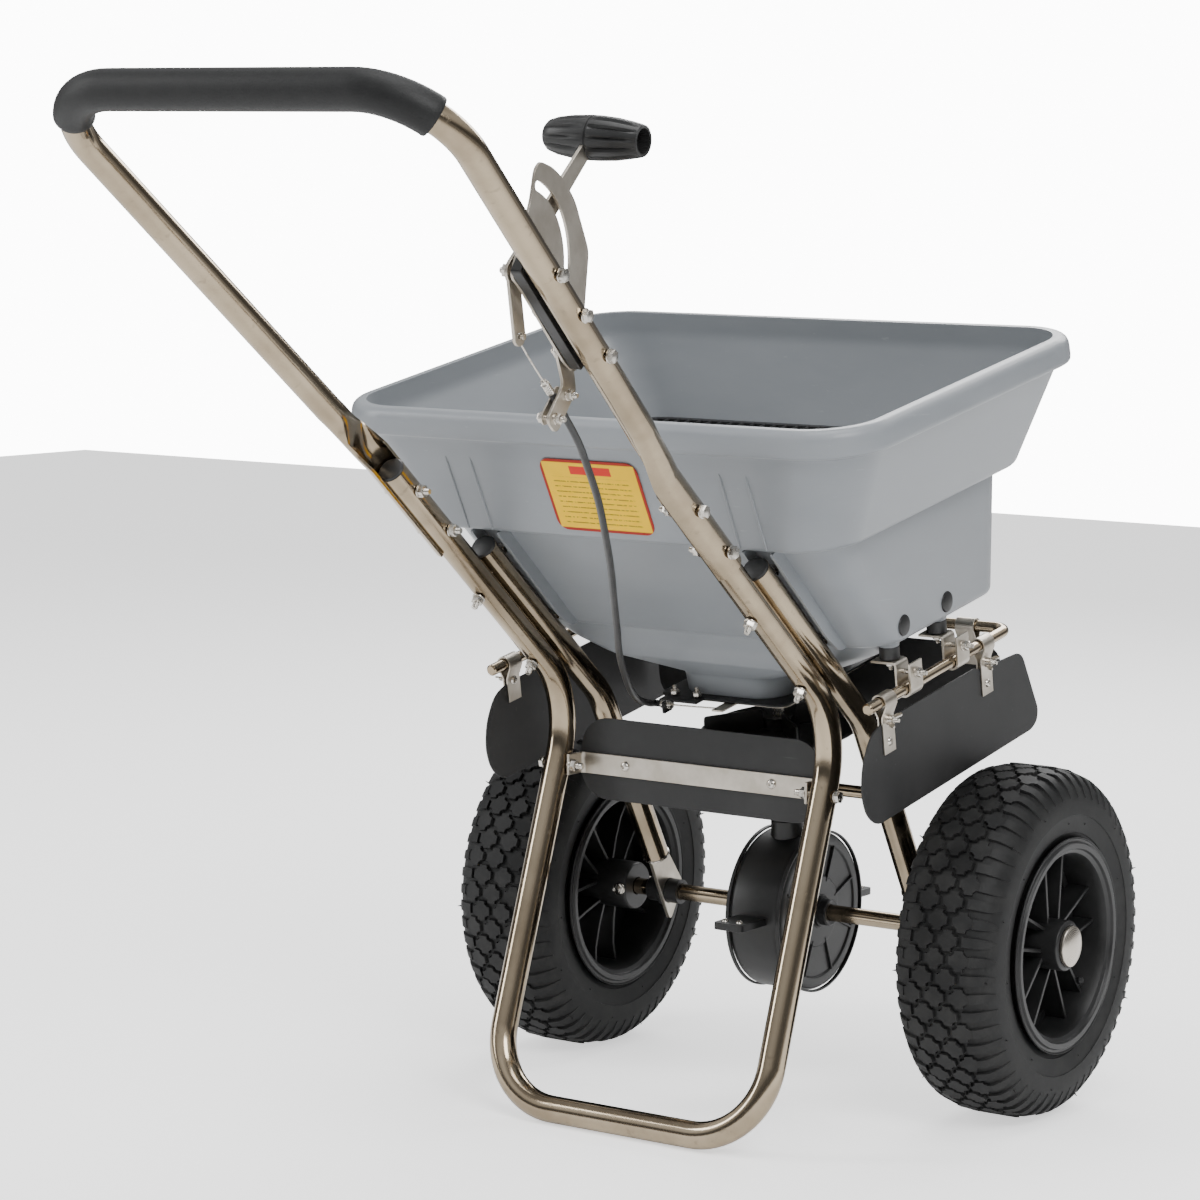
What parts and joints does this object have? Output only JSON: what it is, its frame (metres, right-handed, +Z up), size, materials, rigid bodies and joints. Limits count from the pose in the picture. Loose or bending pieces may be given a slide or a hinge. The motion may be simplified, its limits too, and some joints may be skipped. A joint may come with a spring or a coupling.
{
  "type": "broadcast spreader",
  "caption": "Walk-behind broadcast spreader: rectangular hopper on a bent tube frame with a loop handle, a control lever, a gearbox on the axle, an impeller, deflectors and two tyred wheels.",
  "frame": {"origin": "on the ground, under the middle of the whole machine's box, parked on its stand", "axes": "+Y the way it is pushed, +X the operator's right, +Z up"},
  "size_m": [0.6138, 1.0438, 0.9519],
  "materials": {
    "stainless": "warm polished stainless steel",
    "zinc": "bright zinc plate",
    "grey_plastic": "satin blue-grey moulded plastic",
    "black_plastic": "satin black moulded plastic",
    "black_sheet": "dull black sheet",
    "rubber": "black cable sheath",
    "foam": "dull dark foam",
    "tyre": "matt black tyre rubber"
  },
  "bodies": {
    "frame": {"axle_bush_left": "black_plastic", "axle_bush_right": "black_plastic", "bracket_bolt": "zinc", "cable_bracket": "stainless", "cable_casing": "rubber", "cable_ferrule": "stainless", "cross_bar": "stainless", "deflector_rod": "stainless", "gate_base": "black_sheet", "gearbox_bush_left": "black_plastic", "gearbox_bush_right": "black_plastic", "gearbox_lower": "black_plastic", "gearbox_upper": "black_plastic", "handle_bolt_left_lower": "zinc", "handle_bolt_left_upper": "zinc", "handle_bolt_right_lower": "zinc", "handle_bolt_right_upper": "zinc", "handle_grip": "foam", "handle_tube": "stainless", "hopper": "grey_plastic", "hopper_screen": "black_plastic", "lever_pivot_bolt": "zinc", "quadrant_bolt": "zinc", "quadrant_plate": "stainless", "quadrant_spacer": "black_plastic", "rear_guard": "black_sheet", "rear_strap": "stainless", "rod_hanger_left_front": "stainless", "rod_hanger_left_rear": "stainless", "rod_hanger_right_front": "stainless", "rod_hanger_right_rear": "stainless", "stand_frame": "stainless", "strut_bolt_left": "zinc", "strut_bolt_right": "zinc", "strut_left": "stainless", "strut_right": "stainless"},
    "axle": {"axle": "stainless", "crown_gear": "zinc", "tyre_left": "tyre", "rim_left": "black_plastic", "hub_cap_left": "stainless", "drive_pin": "zinc"},
    "wheel_right": {"tyre_right": "tyre", "rim_right": "black_plastic", "hub_cap_right": "stainless"},
    "impeller": {"impeller": "black_plastic", "impeller_shaft": "stainless", "agitator": "stainless"},
    "lever": {"control_lever": "stainless", "lever_knob": "black_plastic"},
    "gate": {"gate_slide": "stainless"},
    "deflector_left": {"deflector_left": "black_sheet", "clip_left_rear": "stainless", "clip_left_front": "stainless"},
    "deflector_right": {"deflector_right": "black_sheet", "clip_right_rear": "stainless", "clip_right_front": "stainless"},
    "deflector_front": {"deflector_front": "black_sheet", "clip_front_left": "stainless", "clip_front_right": "stainless"}
  },
  "joints": [
    {"name": "axle_turn", "type": "hinge", "parent": "frame", "child": "axle", "pos_m": [0, 0.3571, 0.165], "axis": [1, 0, 0], "continuous": true},
    {"name": "right_wheel_turn", "type": "hinge", "parent": "frame", "child": "wheel_right", "pos_m": [0.2466, 0.3571, 0.165], "axis": [1, 0, 0], "continuous": true},
    {"name": "impeller_turn", "type": "hinge", "parent": "frame", "child": "impeller", "pos_m": [0, 0.3571, 0.165], "axis": [0, -0.1822, 0.9833], "continuous": true},
    {"name": "lever_turn", "type": "hinge", "parent": "frame", "child": "lever", "pos_m": [0.17872, -0.3329, 0.79655], "axis": [0.9969, 0.0618, -0.0497], "range_deg": [-40, 19.6]},
    {"name": "gate_travel", "type": "slide", "parent": "frame", "child": "gate", "axis": [1, 0, 0], "range_m": [-0.0352, 0.0172]},
    {"name": "deflector_left_turn", "type": "hinge", "parent": "frame", "child": "deflector_left", "pos_m": [-0.2065, 0.27734, 0.43037], "axis": [0, 0.9833, 0.1822], "range_deg": [-3, 60]},
    {"name": "deflector_right_turn", "type": "hinge", "parent": "frame", "child": "deflector_right", "pos_m": [0.2065, 0.27734, 0.43037], "axis": [0, -0.9833, -0.1822], "range_deg": [-3, 60]},
    {"name": "deflector_front_turn", "type": "hinge", "parent": "frame", "child": "deflector_front", "pos_m": [0, 0.39533, 0.45224], "axis": [1, 0, 0], "range_deg": [-3, 60]}
  ],
  "couplings": [
    {"joint": "impeller_turn", "follows": "axle_turn", "ratio": -3},
    {"joint": "gate_travel", "follows": "lever_turn", "m_per_rad": 0.05}
  ]
}
